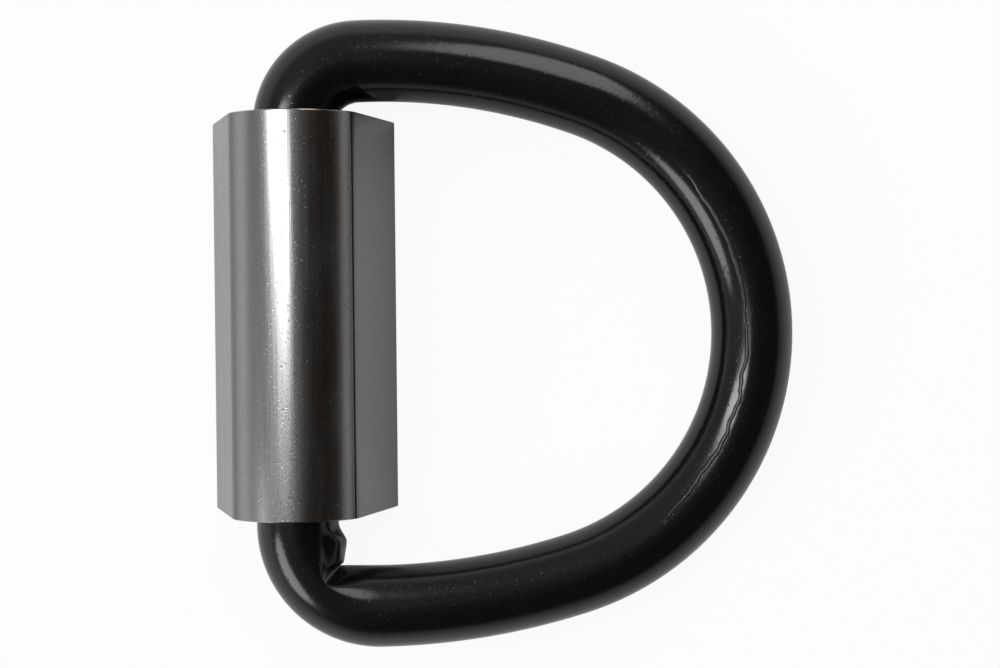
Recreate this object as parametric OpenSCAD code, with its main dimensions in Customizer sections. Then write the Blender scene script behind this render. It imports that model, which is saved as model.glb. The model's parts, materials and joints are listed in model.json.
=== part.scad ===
// Weld-on lashing ring: a D-shaped ring bent from round bar, held by its straight
// side in a strap saddle whose two feet are welded to the surface below.
// Frame: Z up from the weld plane, Y along the ring's straight side, and X out
// towards the nose of the ring. The origin is the middle of the saddle's footprint.
// The ring is drawn folded down, with its nose resting on the weld plane.

/* [Ring bar] */
// Diameter of the round bar that the ring is bent from
bar_d = 12.7; // [10:0.1:15]
// From the middle of the straight side to the middle of the bar at the nose
ring_reach = 71.7; // [62:0.1:90]
// Radius of the nose, to the middle of the bar
nose_r = 39.6; // [32:0.1:45]
// How much the bar's radius swells where it is bent
bend_swell = 0.03; // [0.02:0.01:0.1]

/* [Far half of the ring] */
// Length of straight bar from the ring's middle to the far bend
far_straight = 32.4; // [30:0.1:36]
// Radius of the far bend, to the middle of the bar
far_bend_r = 10.3; // [8.5:0.1:13]
// Radius of the far side arm, to the middle of the bar
far_side_r = 93.5; // [85:0.5:180]

/* [Near half of the ring] */
// Length of straight bar from the ring's middle to the near bend
near_straight = 29.5; // [28.5:0.1:34]
// Radius of the near bend, to the middle of the bar
near_bend_r = 13; // [10:0.1:16]
// Radius of the near side arm, to the middle of the bar
near_side_r = 106.5; // [90:0.5:200]

/* [Inside of the near bend] */
// How far the inside of the bend lies under the skin of the straight bar
corner_sink = 0.05; // [0.05:0.05:0.5]
// How far the wrinkle stands out from the bar at its crest
wrinkle_h = 1.25; // [0.5:0.05:1.5]
// How much of that is left where the wrinkle ends in the corner
wrinkle_end_h = 0.85; // [0.2:0.05:1]
// Length of the wrinkle along the bar, on the side towards the saddle
wrinkle_lead = 3.1; // [1.5:0.1:4]
// Distance from the crest of the wrinkle to the corner
wrinkle_to_corner = 3.2; // [1:0.1:4]

/* [Saddle] */
// Length of the saddle along the bar
saddle_l = 62; // [40:0.5:62]
// Thickness of the strap that the saddle is pressed from
strap_t = 4; // [2.5:0.1:5]
// Gap between the bar and the inside of the crown
crown_gap = 1.35; // [0.6:0.05:3]
// Half of the angle that the round crown covers
crown_half_angle = 50; // [40:1:60]
// Inside radius of the shoulder, the tighter bend between crown and leg
shoulder_inner_r = 0.5; // [0.2:0.1:3]
// How much the strap swells on every side at a shoulder
shoulder_swell = 0.02; // [0.02:0.01:0.05]
// Angle at which each leg spreads outwards
leg_flare = 17.5; // [10:0.5:20]
// Height of the bar's middle above the weld plane
bar_height = 9.5; // [8:0.1:14]
// Broken edge along the cut ends of the strap
edge_break = 0.4; // [0.2:0.05:0.6]

/* [Play] */
// How far the ring has slid along its bar, from the middle of the saddle
ring_slide = -3.1; // [-3.4:0.1:-2.6]
// How far the loose bar lies towards the nose side of the saddle's middle
bar_shift = -0.5; // [-0.6:0.1:0.6]

/* [Hidden] */
$fn = 96;

bar_r = bar_d / 2;
bent_r = bar_r + bend_swell;
// Each unswollen stretch runs this far into the swollen one beside it
lap = 0.5;
strap_lap = 0.3;
// Inside the near bend, the straight bar and the side arm are kept from this distance
// off the bar's middle, and the bend itself up to a little further in
inside_from = bar_r * 0.45;
outside_from = bar_r * 0.5;
// The ring tips down until its nose lies on the weld plane
ring_dip = asin((bar_height - bent_r) / ring_reach);

// Each half of the ring is three arcs that run into one another: bend, side arm, nose.
// The half is worked out in its own plane, with u away from the bar and v along it.
function nose_centre() = [ring_reach - nose_r, 0];
function unit(v) = v / norm(v);

// Middle of the side arm's arc, which is tangent to the bend and to the nose inside it
function side_centre(straight, bend_r, side_r) =
    let (from = [bend_r, straight])
    let (gap = nose_centre() - from)
    let (span = norm(gap))
    let (to_bend = side_r - bend_r)
    let (to_nose = side_r - nose_r)
    let (along = (to_bend ^ 2 - to_nose ^ 2 + span ^ 2) / (2 * span))
    let (aside = sqrt(to_bend ^ 2 - along ^ 2))
    from + unit(gap) * along + [unit(gap)[1], -unit(gap)[0]] * aside;

// Middle of any other bend that runs into the same side arm
function bend_centre(side_mid, side_r, bend_r) =
    [bend_r, side_mid[1] + sqrt((side_r - bend_r) ^ 2 - (bend_r - side_mid[0]) ^ 2)];

function heading(from, to) = atan2(to[1] - from[1], to[0] - from[0]);

// Part of the bar's round section that lies beyond x = from, or short of x = upto
module outer_section(arc_r, section_r, from) {
    intersection() {
        translate([arc_r, 0])
            circle(r = section_r);
        translate([from, -bar_d])
            square([arc_r + bar_d, 2 * bar_d]);
    }
}
module inner_section(arc_r, section_r, upto) {
    intersection() {
        translate([arc_r, 0])
            circle(r = section_r);
        translate([upto - 2 * bar_d, -bar_d])
            square(2 * bar_d);
    }
}

// Sweeps a section along an arc about mid, from angle a0 to angle a1
module along_arc(mid, a0, a1) {
    translate([mid[0], mid[1], 0])
        rotate([0, 0, a0])
            rotate_extrude(angle = a1 - a0)
                children();
}

module bar_arc(mid, arc_r, a0, a1, section_r) {
    along_arc(mid, a0, a1)
        translate([arc_r, 0])
            circle(r = section_r);
}

// Straight round bar along the v axis
module bar_straight(v0, v1) {
    translate([0, v0 - lap, 0])
        rotate([-90, 0, 0])
            cylinder(r = bar_r, h = v1 - v0 + 2 * lap);
}

module side_arm(side_mid, bend_mid, side_r) {
    lap_angle = lap / side_r * 180 / PI;
    bar_arc(
        side_mid, side_r, heading(side_mid, nose_centre()) - lap_angle,
        heading(side_mid, bend_mid) + lap_angle, bar_r
    );
}

// Far half: an even bend, and the side arm
module far_half() {
    bend_mid = [far_bend_r, far_straight];
    side_mid = side_centre(far_straight, far_bend_r, far_side_r);
    bar_arc(bend_mid, far_bend_r, heading(side_mid, bend_mid), 180, bent_r);
    side_arm(side_mid, bend_mid, far_side_r);
}

// Near half: the outside of the bend runs round evenly, and its inside is a sharp
// corner where the bar meets the side arm, with the metal pushed up into a wrinkle
module near_half() {
    bend_mid = [near_bend_r, near_straight];
    side_mid = side_centre(near_straight, near_bend_r, near_side_r);
    meet = heading(side_mid, bend_mid);
    inside_r = bar_r - corner_sink;
    // Height of the side arm's middle, and its angle, above the inside of the bar
    arm_v = side_mid[1] + sqrt(near_side_r ^ 2 - (side_mid[0] - bar_r) ^ 2);
    arm_end = heading(side_mid, [bar_r - inside_from, arm_v]);

    along_arc(bend_mid, meet, 180)
        outer_section(near_bend_r, bent_r, near_bend_r - outside_from);
    side_arm(side_mid, bend_mid, near_side_r);

    along_arc(side_mid, meet, arm_end)
        inner_section(near_side_r, inside_r, near_side_r - inside_from);
    translate([0, arm_v - inside_from, 0])
        rotate([90, 0, 0])
            linear_extrude(height = arm_v - inside_from - near_straight)
                mirror([1, 0, 0])
                    inner_section(0, inside_r, -inside_from);
    wrinkle(arm_v - bar_r);
}

// Low crest across the inside of the bar, which ends in the corner at corner_v
module wrinkle(corner_v) {
    root_r = bar_r * 0.8;
    translate([bar_r + wrinkle_h - root_r, corner_v - wrinkle_to_corner, 0])
        rotate([-90, 0, 0]) {
            cylinder(
                r1 = root_r, r2 = root_r - wrinkle_h + wrinkle_end_h,
                h = wrinkle_to_corner + lap
            );
            mirror([0, 0, 1])
                cylinder(r1 = root_r, r2 = root_r - wrinkle_h - corner_sink, h = wrinkle_lead);
        }
}

// The whole ring, flat in its own plane
module ring_in_plane() {
    far_mid = side_centre(far_straight, far_bend_r, far_side_r);
    near_mid = side_centre(near_straight, near_bend_r, near_side_r);
    bar_straight(-near_straight, far_straight);
    far_half();
    bar_arc(
        nose_centre(), nose_r,
        -heading(near_mid, nose_centre()), heading(far_mid, nose_centre()), bent_r
    );
    mirror([0, 1, 0])
        near_half();
}

module d_ring() {
    color("#17161a")
        translate([bar_shift, ring_slide, bar_height])
            rotate([0, ring_dip, 0])
                ring_in_plane();
}

// Section across the strap, with its cut edges broken, standing out from x = inner_r
module strap_section(inner_r, swell) {
    inner = inner_r - swell;
    outer = inner_r + strap_t + swell;
    half = saddle_l / 2 + swell;
    polygon([
        [inner, -half + edge_break], [inner + edge_break, -half],
        [outer - edge_break, -half], [outer, -half + edge_break],
        [outer, half - edge_break], [outer - edge_break, half],
        [inner + edge_break, half], [inner, half - edge_break]
    ]);
}

// Strap bent about the Y axis, with angles measured from straight up
module strap_bend(inner_r, a0, a1, swell) {
    rotate([90, -90 + a1, 0])
        rotate_extrude(angle = a1 - a0)
            strap_section(inner_r, swell);
}

crown_inner_r = bar_r + crown_gap;
crown_lap_angle = strap_lap / (crown_inner_r + strap_t) * 180 / PI;
leg_normal = 90 - leg_flare;
// From the middle of the crown's arc to the middle of a shoulder's
shoulder_reach = crown_inner_r - shoulder_inner_r;
shoulder_mid = [
    shoulder_reach * sin(crown_half_angle),
    bar_height + shoulder_reach * cos(crown_half_angle)
];
// Run of leg from the shoulder past the weld plane
leg_run = (shoulder_mid[1] + shoulder_inner_r + strap_t) / cos(leg_flare) + strap_t;

// Shoulder and leg on one side
module strap_side() {
    translate([shoulder_mid[0], 0, shoulder_mid[1]]) {
        strap_bend(shoulder_inner_r, crown_half_angle, leg_normal, shoulder_swell);
        rotate([0, -leg_flare, 0])
            translate([0, 0, -leg_run])
                linear_extrude(height = leg_run + strap_lap)
                    strap_section(shoulder_inner_r, 0);
    }
}

module weld_saddle() {
    below = 3 * strap_t;
    color("#8d8d8e")
        difference() {
            union() {
                translate([0, 0, bar_height])
                    strap_bend(
                        crown_inner_r, -crown_half_angle - crown_lap_angle,
                        crown_half_angle + crown_lap_angle, 0
                    );
                strap_side();
                mirror([1, 0, 0])
                    strap_side();
            }
            // The feet are cut level for welding
            translate([-saddle_l, -saddle_l, -below])
                cube([2 * saddle_l, 2 * saddle_l, below]);
        }
}

d_ring();
weld_saddle();
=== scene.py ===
"""Weld-on lashing ring: the looks of its two pieces, a plain stage and a camera."""

import json
import math

import bpy
from mathutils import Matrix, Vector, noise


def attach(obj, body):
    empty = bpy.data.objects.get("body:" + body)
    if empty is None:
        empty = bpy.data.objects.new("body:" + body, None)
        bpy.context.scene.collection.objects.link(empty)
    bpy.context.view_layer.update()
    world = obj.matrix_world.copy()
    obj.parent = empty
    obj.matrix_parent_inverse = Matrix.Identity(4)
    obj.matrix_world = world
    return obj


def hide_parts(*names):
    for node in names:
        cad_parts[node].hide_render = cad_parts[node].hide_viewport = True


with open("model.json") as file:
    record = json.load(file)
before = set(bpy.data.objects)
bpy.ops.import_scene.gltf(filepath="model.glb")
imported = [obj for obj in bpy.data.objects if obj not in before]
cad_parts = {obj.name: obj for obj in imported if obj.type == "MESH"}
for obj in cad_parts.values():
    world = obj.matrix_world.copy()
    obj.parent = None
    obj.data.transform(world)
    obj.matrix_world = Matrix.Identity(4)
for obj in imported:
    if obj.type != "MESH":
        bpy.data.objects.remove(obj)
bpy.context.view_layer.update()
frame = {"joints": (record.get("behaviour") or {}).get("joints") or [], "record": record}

bl_info = {
    "name": "Weld-on Lashing Ring",
    "version": (1, 0, 0),
    "blender": (4, 5, 0),
    "location": "View3D > Sidebar > Lashing Ring",
    "description": "Builds a D-shaped lashing ring in its strap saddle, with a plain stage",
    "category": "Object",
}

HINGE = Vector(frame["joints"][0]["pos_m"])
NOSE = next(m for m in frame["record"]["mounts"] if m["name"] == "ring_nose")
NOSE_AT = Vector(NOSE["pos_m"])
REACH = (NOSE_AT - Vector((HINGE.x, NOSE_AT.y, HINGE.z))).length
DIP = math.asin((HINGE.z - NOSE_AT.z) / REACH)

# The near bend: how far past the straight the wrinkle's crest and the corner lie
WRINKLE_CREST = 0.0027
WRINKLE_RUN = 0.0032
CORNER = 0.0061
CORNER_SOFTNESS = 0.0004

# The saddle's bends, and a leg long enough to be cut off level with the floor
CROWN_HALF = math.radians(50)
LEG_FLARE = math.radians(17.5)
LEG_RUN = 0.024
LEG_STEPS = 12

# The seam on the nose: its place on the bar, the half widths of its line, and its ends
SEAM_INWARDS = 0.27
SEAM_LINE = (0.00006, 0.00028)
SEAM_START = (-0.95, -0.6)
SEAM_END = (0.45, 0.85)

# Angles round the crown, from straight up: the painted dark line at the right bend, the brown
# tint with its painted shade, and the flat legs' painted shade
BEND_SHADE_LINE = 0.9
TINT_SHADE_START = (0.1, 0.3)
TINT_SHADE_END = (0.55, 0.8)
LEG_SHADE_FROM = (0.7, 0.92)
SKIN_RADII = (0.0098, 0.0104)

LAMP_DISTANCE = 0.9
EYE_FORWARD = Vector((-0.00101, -0.01481, -0.99989))
EYE_UP = Vector((0.00964, 0.99984, -0.01482))


def length(name, text, default):
    """A size in metres that a user can change."""
    return bpy.props.FloatProperty(
        name=name, description=text, default=default, unit="LENGTH", precision=5
    )


def colour(name, text, default):
    """A colour that a user can change."""
    return bpy.props.FloatVectorProperty(
        name=name, description=text, default=default, subtype="COLOR", min=0, max=1
    )


def share(name, text, default):
    """A share from 0 to 1 that a user can change."""
    return bpy.props.FloatProperty(
        name=name, description=text, default=default, subtype="FACTOR", min=0, max=1
    )


class RingSettings(bpy.types.PropertyGroup):
    """Sizes and finish of the ring."""

    bar_r: length("Bar radius", "Radius of the round bar", 0.00635)
    nose_r: length("Nose radius", "Radius of the nose, to the bar's middle", 0.0396)
    far_straight: length("Far straight", "Straight bar up to the far bend", 0.0324)
    far_bend_r: length("Far bend", "Radius of the far bend", 0.0103)
    far_side_r: length("Far side", "Radius of the far side arm", 0.0935)
    near_straight: length("Near straight", "Straight bar up to the near bend", 0.0295)
    near_bend_r: length("Near bend", "Radius of the near bend", 0.013)
    near_side_r: length("Near side", "Radius of the near side arm", 0.1065)
    wrinkle_h: length("Wrinkle", "How far the wrinkle stands out in the near bend", 0.0012)
    coat: colour("Coating", "Colour of the gloss coating", (0.0045, 0.0045, 0.0055))
    coat_roughness: share("Coating roughness", "Roughness of the gloss coating", 0.16)


class SaddleSettings(bpy.types.PropertyGroup):
    """Sizes and finish of the saddle."""

    half_length: length("Half length", "Half of the saddle's length", 0.031)
    strap_t: length("Strap", "Thickness of the strap", 0.004)
    crown_inner_r: length("Crown", "Inside radius of the crown", 0.0077)
    shoulder_inner_r: length("Shoulder", "Inside radius of the shoulders", 0.0005)
    edge_break: length("Edge", "Width of the broken edges", 0.00035)
    steel: colour("Steel", "Colour of the bare steel", (0.36, 0.357, 0.355))
    # A brown tint colour that also paints shade over the crown's dark band
    tint_shade_colour: colour("Heat tint", "Colour of the heat and oil tint", (0.2, 0.135, 0.09))


class StageSettings(bpy.types.PropertyGroup):
    """Camera and backdrop."""

    eye: bpy.props.FloatVectorProperty(
        name="Eye", description="Place of the camera", default=(0.03166, 0.00087, 0.28082),
        unit="LENGTH",
    )
    lens: bpy.props.FloatProperty(
        name="Lens", description="Focal length in millimetres", default=62.55
    )
    floor_lift: share("Floor lift", "How much of the floor's white shows past shadows", 0.93)


# ---------------------------------------------------------------- shader tools


class Socket:
    """An output socket that Python's operators work on, by adding Math nodes."""

    def __init__(self, shader, out):
        self.shader = shader
        self.out = out

    def math(self, operation, *others):
        return self.shader.node("ShaderNodeMath", {"operation": operation}, self, *others)

    def __add__(self, other):
        return self.math("ADD", other)

    __radd__ = __add__

    def __mul__(self, other):
        return self.math("MULTIPLY", other)

    __rmul__ = __mul__

    def __sub__(self, other):
        return self.math("SUBTRACT", other)

    def __rsub__(self, other):
        return self.shader.node("ShaderNodeMath", {"operation": "SUBTRACT"}, other, self)

    def __pow__(self, other):
        return self.math("POWER", other)

    def __abs__(self):
        return self.math("ABSOLUTE")


class Shader:
    """The node tree of one material or world."""

    def __init__(self, owner):
        owner.use_nodes = True
        self.tree = owner.node_tree
        self.tree.nodes.clear()

    def node(self, kind, settings=None, *inputs, output=0, **named):
        """Adds a node, sets it and its sockets, and gives its output."""
        made = self.tree.nodes.new(kind)
        for key, value in (settings or {}).items():
            setattr(made, key, value)
        for key, value in [*enumerate(inputs), *named.items()]:
            self.put(made.inputs[key], value)
        return Socket(self, made.outputs[output]) if made.outputs else made

    def put(self, socket, value):
        if isinstance(value, Socket):
            self.tree.links.new(value.out, socket)
        elif value is not None:
            if socket.type == "RGBA" and len(value) == 3:
                value = (*value, 1)
            socket.default_value = value

    def outputs(self, kind, names, *inputs):
        """Adds a node and gives several of its outputs."""
        made = self.node(kind, None, *inputs).out.node
        return [Socket(self, made.outputs[name]) for name in names]

    def mix(self, factor, a, b):
        """Mixes two colours."""
        made = self.tree.nodes.new("ShaderNodeMix")
        made.data_type = "RGBA"
        for key, value in ((0, factor), (6, a), (7, b)):
            self.put(made.inputs[key], value)
        return Socket(self, made.outputs[2])

    def noise(self, place, scale, detail=3.0, roughness=0.5):
        return self.node(
            "ShaderNodeTexNoise", None, place, None, scale, detail, roughness
        )

    def stretched(self, place, scale):
        """Coordinates stretched by a scale on each axis."""
        return self.node("ShaderNodeMapping", None, place, None, None, scale)

    def smooth(self, value, low, high):
        """0 below low, 1 above high, and smooth between."""
        return self.node(
            "ShaderNodeMapRange", {"interpolation_type": "SMOOTHSTEP"}, value, low, high, 0.0, 1.0
        )

    def surface(self, out):
        self.node("ShaderNodeOutputMaterial", None, out)


def new_material(name):
    material = bpy.data.materials.new(name)
    return material, Shader(material)


# ---------------------------------------------------------------- modelling tools


def start():
    """Back to object mode with nothing selected."""
    if bpy.context.object and bpy.context.object.mode != "OBJECT":
        bpy.ops.object.mode_set(mode="OBJECT")
    bpy.ops.object.select_all(action="DESELECT")


def apply_place(piece):
    bpy.ops.object.transform_apply(location=True, rotation=True, scale=True)
    return piece


def pull(step, times=1):
    """Extrudes the selected end along step, several times."""
    for _ in range(times):
        bpy.ops.mesh.extrude_region_move(TRANSFORM_OT_translate={"value": step})


def sweep(steps, angle, centre, axis):
    bpy.ops.mesh.spin(steps=steps, angle=angle, center=centre, axis=axis)


def close_up(smooth_angle):
    """Merges doubles, turns the faces outwards and smooths what is round."""
    bpy.ops.mesh.select_all(action="SELECT")
    bpy.ops.mesh.remove_doubles(threshold=1e-6)
    bpy.ops.mesh.normals_make_consistent(inside=False)
    bpy.ops.object.mode_set(mode="OBJECT")
    bpy.ops.object.shade_smooth_by_angle(angle=smooth_angle)


def finish_piece(piece, name, body, node, material):
    piece.name = name
    piece.data.name = name
    piece.data.materials.clear()
    piece.data.materials.append(material)
    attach(piece, body)
    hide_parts(node)


def smoothstep(value, low, high):
    t = min(max((value - low) / (high - low), 0), 1)
    return t * t * (3 - 2 * t)


# ---------------------------------------------------------------- the ring


def side_centre(straight, bend_r, side_r, nose_r):
    """Middle of a side arm's arc, tangent to its bend and to the nose."""
    bend = Vector((bend_r, straight))
    gap = Vector((REACH - nose_r, 0)) - bend
    span = gap.length
    to_bend, to_nose = side_r - bend_r, side_r - nose_r
    along = (to_bend**2 - to_nose**2 + span**2) / (2 * span)
    aside = math.sqrt(to_bend**2 - along**2)
    gap.normalize()
    return bend + gap * along + Vector((gap.y, -gap.x)) * aside


def heading(a, b):
    return math.atan2(b[1] - a[1], b[0] - a[0])


def settle_near_bend(piece, ring, side):
    """Draws the inside of the near bend into a tight corner, with a wrinkle beside it."""
    bend = Vector((ring.near_bend_r, ring.near_straight))
    r = ring.bar_r
    crest_v = ring.near_straight + WRINKLE_CREST
    corner_v = ring.near_straight + CORNER
    for vertex in piece.data.vertices:
        u, v, w = vertex.co.x, -vertex.co.y, vertex.co.z
        if u > bend.x or v < bend.y - 0.002:
            continue
        out = Vector((bend.x - u, v - bend.y))
        distance = out.length
        if v > bend.y:
            inner = (ring.near_bend_r - distance) / r
        else:
            inner = u / r
        if inner <= 0:
            continue
        weight = smoothstep(inner, 0.05, 0.95)
        if v > bend.y:
            reach_in = math.sqrt(max(r * r - w * w, 0))
            arm = side.y + math.sqrt(ring.near_side_r**2 - (side.x - u) ** 2) - reach_in
            turn = out / distance
            to_bar = (bend.x - reach_in) / max(turn.x, 1e-4)
            to_arm = (arm - bend.y) / max(turn.y, 1e-4)
            blend = max(CORNER_SOFTNESS - abs(to_bar - to_arm), 0) / CORNER_SOFTNESS
            tight = min(to_bar, to_arm) - blend * blend * CORNER_SOFTNESS / 4
            moved = distance + (max(tight, distance) - distance) * weight
            u = bend.x - turn.x * moved
            v = bend.y + turn.y * moved
        rise = smoothstep(v, crest_v - WRINKLE_RUN, crest_v) ** 1.5
        fall = 1 - 0.35 * smoothstep(v, crest_v, corner_v)
        end = 1 - smoothstep(v, corner_v - 0.0002, corner_v + 0.0005)
        lip = smoothstep(inner, 0.62, 0.9)
        uneven = 1 + 0.14 * noise.noise(Vector((u, v, w)) * 500)
        u += ring.wrinkle_h * rise * fall * end * lip * uneven
        vertex.co = (u, -v, w)


def build_ring(ring):
    """The bar swept round the ring's five arcs, in the ring's own plane."""
    nose = Vector((REACH - ring.nose_r, 0))
    far = side_centre(ring.far_straight, ring.far_bend_r, ring.far_side_r, ring.nose_r)
    near = side_centre(ring.near_straight, ring.near_bend_r, ring.near_side_r, ring.nose_r)
    far_bend = Vector((ring.far_bend_r, ring.far_straight))
    near_bend = Vector((ring.near_bend_r, ring.near_straight))
    far_meet, near_meet = heading(far, far_bend), heading(near, near_bend)
    far_nose, near_nose = heading(far, nose), heading(near, nose)

    start()
    bpy.ops.mesh.primitive_circle_add(
        vertices=128, radius=ring.bar_r, location=(0, -ring.near_straight, 0),
        rotation=(math.pi / 2, 0, 0),
    )
    piece = apply_place(bpy.context.object)
    bpy.ops.object.mode_set(mode="EDIT")
    straight_steps = 60
    run = ring.near_straight + ring.far_straight
    pull((0, run / straight_steps, 0), straight_steps)
    for centre, turn, steps in (
        (far_bend, math.pi - far_meet, 36),
        (far, far_meet - far_nose, 60),
        (nose, far_nose + near_nose, 110),
        (Vector((near.x, -near.y)), near_meet - near_nose, 60),
        (Vector((near_bend.x, -near_bend.y)), math.pi - near_meet, 60),
    ):
        sweep(steps, turn, (centre.x, centre.y, 0), (0, 0, 1))
    close_up(math.radians(60))
    settle_near_bend(piece, ring, near)
    piece.rotation_euler = (0, DIP, 0)
    piece.location = (HINGE.x, NOSE_AT.y, HINGE.z)
    return apply_place(piece)




def coating_material(ring):
    """Gloss black coating: orange peel, fine specks, and the bar's seam as a ridge with a painted
    highlight along it.
    """
    material, s = new_material("gloss_black_coating")
    place = s.node("ShaderNodeTexCoord", output="Object")
    x, y, z = s.outputs("ShaderNodeSeparateXYZ", "XYZ", place)
    peel = s.noise(place, 420.0, 2.0)
    waves = s.noise(place, 60.0, 2.0)
    specks = s.noise(place, 2600.0, 1.0)
    speck_mask = s.smooth(specks, 0.66, 0.74)

    # The seam lies on the front's inner shoulder, as a thin line with small jogs
    cx, cy = HINGE.x + (REACH - ring.nose_r) * math.cos(DIP), NOSE_AT.y
    dx, dy = x - cx, y - cy
    radius = (dx * dx + dy * dy) ** 0.5
    jog = (s.noise(place, 130.0, 3.0) - 0.5) * 0.0022
    off = radius - (ring.nose_r - ring.bar_r * SEAM_INWARDS) + jog
    ridge = 1 - s.smooth(abs(off), *SEAM_LINE)
    turn = dy.math("ARCTAN2", dx)
    reach = s.smooth(turn, *SEAM_START) * (1 - s.smooth(turn, *SEAM_END))
    above = s.smooth(z, 0.0075, 0.009)
    seam_and_highlight = ridge * reach * above

    base = s.mix(speck_mask * 0.35, ring.coat, (0.035, 0.035, 0.04))
    # Painted highlight: the seam's ridge is painted lighter
    base = s.mix(seam_and_highlight * 0.5, base, (0.06, 0.06, 0.065))
    rough = ring.coat_roughness + (waves - 0.5) * 0.12 + speck_mask * 0.12 + seam_and_highlight * 0.1
    height = peel * 0.000012 + waves * 0.00006 + speck_mask * 0.00001 + seam_and_highlight * 0.0001
    bump = s.node("ShaderNodeBump", None, 1.0, 1.0, 1.0, Height=height)
    out = s.node(
        "ShaderNodeBsdfPrincipled", None, base, Roughness=rough, Normal=bump, IOR=1.5
    )
    s.surface(out)
    return material


class OBJECT_OT_lashing_ring(bpy.types.Operator):
    """Builds the D-shaped ring from swept bar"""

    bl_idname = "lashing_ring.build_ring"
    bl_label = "Build the ring"

    def execute(self, context):
        ring = context.scene.lashing_ring
        piece = build_ring(ring)
        finish_piece(
            piece, "ring_bar", "ring", "d_ring", coating_material(ring)
        )
        return {"FINISHED"}


# ---------------------------------------------------------------- the saddle


def build_saddle(saddle):
    """The strap swept from foot to foot, cut level, with its edges broken."""
    reach = saddle.crown_inner_r - saddle.shoulder_inner_r
    shoulder = Vector((reach * math.sin(CROWN_HALF), 0, HINGE.z + reach * math.cos(CROWN_HALF)))
    middle = saddle.shoulder_inner_r + saddle.strap_t / 2
    outward = Vector((math.cos(LEG_FLARE), 0, math.sin(LEG_FLARE)))
    down = Vector((math.sin(LEG_FLARE), 0, -math.cos(LEG_FLARE)))
    foot = shoulder + outward * middle + down * LEG_RUN

    start()
    bpy.ops.mesh.primitive_plane_add(size=1, location=foot, rotation=(0, -LEG_FLARE, 0))
    piece = bpy.context.object
    piece.scale = (saddle.strap_t, 2 * saddle.half_length, 1)
    apply_place(piece)
    bpy.ops.object.mode_set(mode="EDIT")
    bpy.ops.mesh.select_all(action="SELECT")
    pull(-down * LEG_RUN / LEG_STEPS, LEG_STEPS)
    axis = (0, 1, 0)
    tight = math.pi / 2 - LEG_FLARE - CROWN_HALF
    left = (-shoulder.x, 0, shoulder.z)
    sweep(10, tight, shoulder, axis)
    sweep(56, 2 * CROWN_HALF, (0, 0, HINGE.z), axis)
    sweep(10, tight, left, axis)
    pull(Vector((-down.x, 0, down.z)) * LEG_RUN / LEG_STEPS, LEG_STEPS)
    bpy.ops.mesh.select_all(action="SELECT")
    bpy.ops.mesh.remove_doubles(threshold=1e-6)
    bpy.ops.mesh.bisect(
        plane_co=(0, 0, 0), plane_no=(0, 0, 1), use_fill=True, clear_inner=True
    )
    close_up(math.radians(30))
    bevel = piece.modifiers.new("broken_edges", "BEVEL")
    bevel.width = saddle.edge_break
    bevel.segments = 2
    bevel.limit_method = "ANGLE"
    bevel.angle_limit = math.radians(50)
    bpy.ops.object.modifier_apply(modifier=bevel.name)
    bpy.ops.object.shade_smooth_by_angle(angle=math.radians(40))
    return piece




def steel_material(saddle):
    """Bare drawn steel: streaks along the bar, pits, a painted dark reflection along the right
    bend, a brown tint that is partly painted shade, and painted shade on the flat legs.
    """
    material, s = new_material("bare_drawn_steel")
    place = s.node("ShaderNodeTexCoord", output="Object")
    x, z = s.outputs("ShaderNodeSeparateXYZ", "XZ", place)
    fine = s.noise(s.stretched(place, (5200, 70, 5200)), 1.0, 3.0)
    broad = s.noise(s.stretched(place, (900, 12, 900)), 1.0, 2.0)
    pits = s.smooth(s.noise(place, 2300.0, 1.0), 0.68, 0.76)
    around = x.math("ARCTAN2", z - HINGE.z)

    # Only the outside of the crown and shoulder carries the painted dark line at the bend and the
    # brown tint with its painted shade
    radial = (x * x + (z - HINGE.z) * (z - HINGE.z)) ** 0.5
    outside = s.smooth(radial, *SKIN_RADII)
    # Painted reflection: a near-black line where the right bend's dark reflection falls, over a
    # small groove
    bend_shade_line = (1 - s.smooth(abs(around - BEND_SHADE_LINE), 0.008, 0.022)) * outside
    # Brown tint on the crown's right side, darker there as painted shade over its dark reflection
    # band
    wander = (broad - 0.5) * 0.25
    tint_and_shade = s.smooth(around + wander, *TINT_SHADE_START)
    tint_and_shade = tint_and_shade * (1 - s.smooth(around + wander, *TINT_SHADE_END)) * outside
    cloud = s.noise(s.stretched(place, (300, 60, 300)), 1.0, 3.0)

    base = s.mix(tint_and_shade * s.smooth(cloud, 0.25, 0.7) * 0.75, saddle.steel, saddle.tint_shade_colour)
    # Painted shade: the flat legs are darkened
    leg_shade = s.smooth(abs(around), *LEG_SHADE_FROM)
    base = s.mix(leg_shade * 0.85, base, (0.15, 0.15, 0.152))
    base = s.mix((fine - 0.35) * 0.35, base, (0.2, 0.195, 0.19))
    base = s.mix(pits * 0.45, base, (0.12, 0.11, 0.1))
    base = s.mix(bend_shade_line * 0.95, base, (0.01, 0.009, 0.008))
    rough = 0.24 + (fine - 0.5) * 0.14 + (broad - 0.5) * 0.1 + pits * 0.2 + bend_shade_line * 0.3
    height = fine * 0.000006 + broad * 0.00001 - pits * 0.00001 - bend_shade_line * 0.00012
    bump = s.node("ShaderNodeBump", None, 1.0, 1.0, 1.0, Height=height)
    out = s.node(
        "ShaderNodeBsdfPrincipled", None, base, Metallic=1.0, Roughness=rough, Normal=bump
    )
    s.surface(out)
    return material


class OBJECT_OT_lashing_saddle(bpy.types.Operator):
    """Builds the strap saddle that holds the ring"""

    bl_idname = "lashing_ring.build_saddle"
    bl_label = "Build the saddle"

    def execute(self, context):
        saddle = context.scene.lashing_saddle
        piece = build_saddle(saddle)
        finish_piece(
            piece, "strap_saddle", "saddle", "weld_saddle",
            steel_material(saddle),
        )
        return {"FINISHED"}


# ---------------------------------------------------------------- the stage


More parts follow.
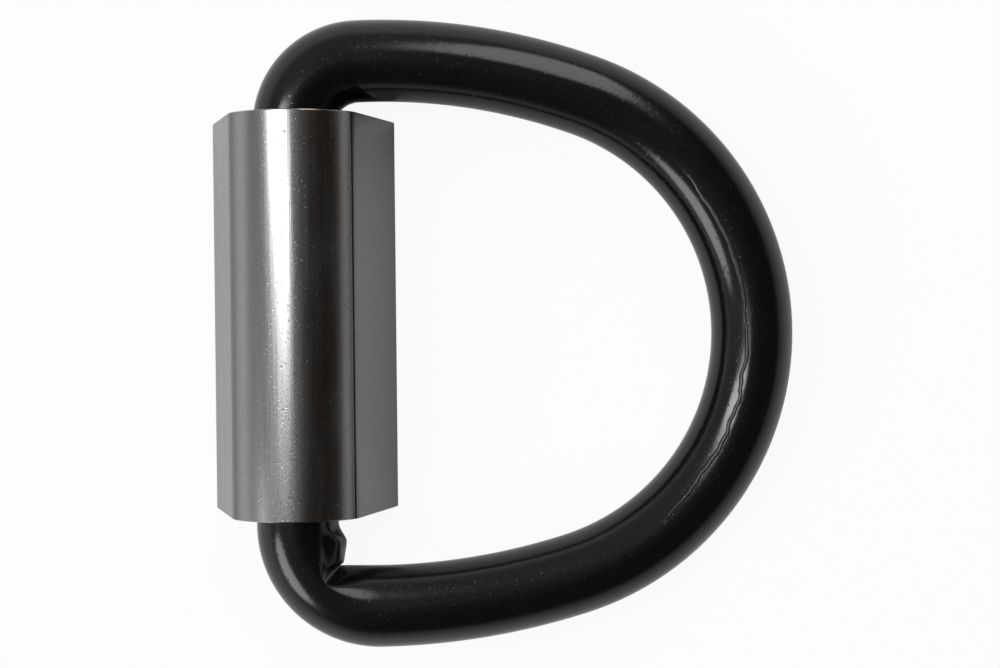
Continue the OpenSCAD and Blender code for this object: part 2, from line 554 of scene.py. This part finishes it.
def softbox(name, tilt, azimuth, width, height, radiance):
    """A rectangular lamp seen from the object at a tilt from straight up."""
    at = Vector((
        math.sin(tilt) * math.cos(azimuth), math.sin(tilt) * math.sin(azimuth), math.cos(tilt)
    ))
    bpy.ops.object.light_add(type="AREA", location=at * LAMP_DISTANCE)
    lamp = bpy.context.object
    lamp.name = name
    lamp.rotation_euler = at.to_track_quat("Z", "Y").to_euler()
    lamp.data.shape = "ELLIPSE"
    lamp.data.size = 2 * LAMP_DISTANCE * math.tan(width)
    lamp.data.size_y = 2 * LAMP_DISTANCE * math.tan(height)
    area = math.pi / 4 * lamp.data.size * lamp.data.size_y
    lamp.data.energy = radiance * math.pi * area
    lamp.visible_camera = False
    return lamp


def floor_material(stage):
    """Matt white that keeps a soft shadow."""
    material, s = new_material("white_floor")
    rays = ("Is Camera Ray", "Is Glossy Ray", "Is Transmission Ray")
    camera, glossy, through = s.outputs("ShaderNodeLightPath", rays)
    matt = s.node("ShaderNodeBsdfDiffuse", None, (0.93, 0.93, 0.93))
    white = s.node("ShaderNodeEmission", None, (1.0, 1.0, 1.0), 1.0)
    lift = camera * stage.floor_lift + (glossy + through) * 0.15
    s.surface(s.node("ShaderNodeMixShader", None, lift, matt, white))
    return material


def studio_world():
    """White round the horizon, grey on one side overhead and dark on the other."""
    world = bpy.data.worlds.new("studio")
    bpy.context.scene.world = world
    s = Shader(world)
    way = s.node("ShaderNodeTexCoord", output="Generated")
    x, y, z = s.outputs("ShaderNodeSeparateXYZ", "XYZ", way)
    low = 1 - s.smooth(z, 0.05, 0.4)
    lit_side = s.smooth(y * 0.6 - x, -0.5, 0.9)
    overhead = 0.03 + lit_side * 0.3
    level = low * 0.5 + overhead
    (camera,) = s.outputs("ShaderNodeLightPath", ("Is Camera Ray",))
    level = level * (1 - camera) + camera
    out = s.node("ShaderNodeBackground", None, (1.0, 1.0, 1.0), level)
    s.node("ShaderNodeOutputWorld", None, out)


class OBJECT_OT_lashing_stage(bpy.types.Operator):
    """Sets the floor, the lamps and the camera"""

    bl_idname = "lashing_ring.set_stage"
    bl_label = "Set the stage"

    def execute(self, context):
        stage = context.scene.lashing_stage
        start()
        bpy.ops.mesh.primitive_plane_add(size=30, location=(0, 0, -0.00003))
        floor = bpy.context.object
        floor.name = "floor"
        floor.data.materials.append(floor_material(stage))
        studio_world()
        rad = math.radians
        softbox("low_side_lamp", rad(56), rad(215), rad(17), rad(13), 4.6)
        softbox("overhead_lamp", rad(24), rad(160), rad(5.5), rad(17), 10.5)
        softbox("back_lamp", rad(46), rad(67), rad(11), rad(22), 2.8)
        bpy.ops.object.camera_add(location=stage.eye)
        camera = bpy.context.object
        camera.name = "camera"
        camera.data.lens = stage.lens
        camera.data.sensor_width = 36
        right = EYE_FORWARD.cross(EYE_UP).normalized()
        up = right.cross(EYE_FORWARD).normalized()
        camera.matrix_world = Matrix.Translation(stage.eye) @ Matrix(
            (right, up, -EYE_FORWARD.normalized())
        ).transposed().to_4x4()
        camera.data.clip_start = 0.001
        context.scene.camera = camera
        context.scene.view_settings.view_transform = "Standard"
        return {"FINISHED"}


class VIEW3D_PT_lashing_ring(bpy.types.Panel):
    """Lists the pieces and the stage in the sidebar"""

    bl_label = "Lashing Ring"
    bl_space_type = "VIEW_3D"
    bl_region_type = "UI"
    bl_category = "Lashing Ring"

    def draw(self, context):
        for operator, settings in STEPS:
            self.layout.operator(operator.bl_idname)
            group = getattr(context.scene, settings)
            for name in group.bl_rna.properties.keys():
                if name not in ("rna_type", "name"):
                    self.layout.prop(group, name)


STEPS = (
    (OBJECT_OT_lashing_stage, "lashing_stage"),
    (OBJECT_OT_lashing_saddle, "lashing_saddle"),
    (OBJECT_OT_lashing_ring, "lashing_ring"),
)
GROUPS = (
    ("lashing_ring", RingSettings),
    ("lashing_saddle", SaddleSettings),
    ("lashing_stage", StageSettings),
)


def register():
    for name, group in GROUPS:
        bpy.utils.register_class(group)
        setattr(bpy.types.Scene, name, bpy.props.PointerProperty(type=group))
    for operator, _ in STEPS:
        bpy.utils.register_class(operator)
    bpy.utils.register_class(VIEW3D_PT_lashing_ring)


def unregister():
    bpy.utils.unregister_class(VIEW3D_PT_lashing_ring)
    for operator, _ in reversed(STEPS):
        bpy.utils.unregister_class(operator)
    for name, group in reversed(GROUPS):
        delattr(bpy.types.Scene, name)
        bpy.utils.unregister_class(group)


def main():
    register()
    bpy.ops.lashing_ring.set_stage()
    bpy.ops.lashing_ring.build_saddle()
    bpy.ops.lashing_ring.build_ring()


if __name__ == "__main__":
    main()
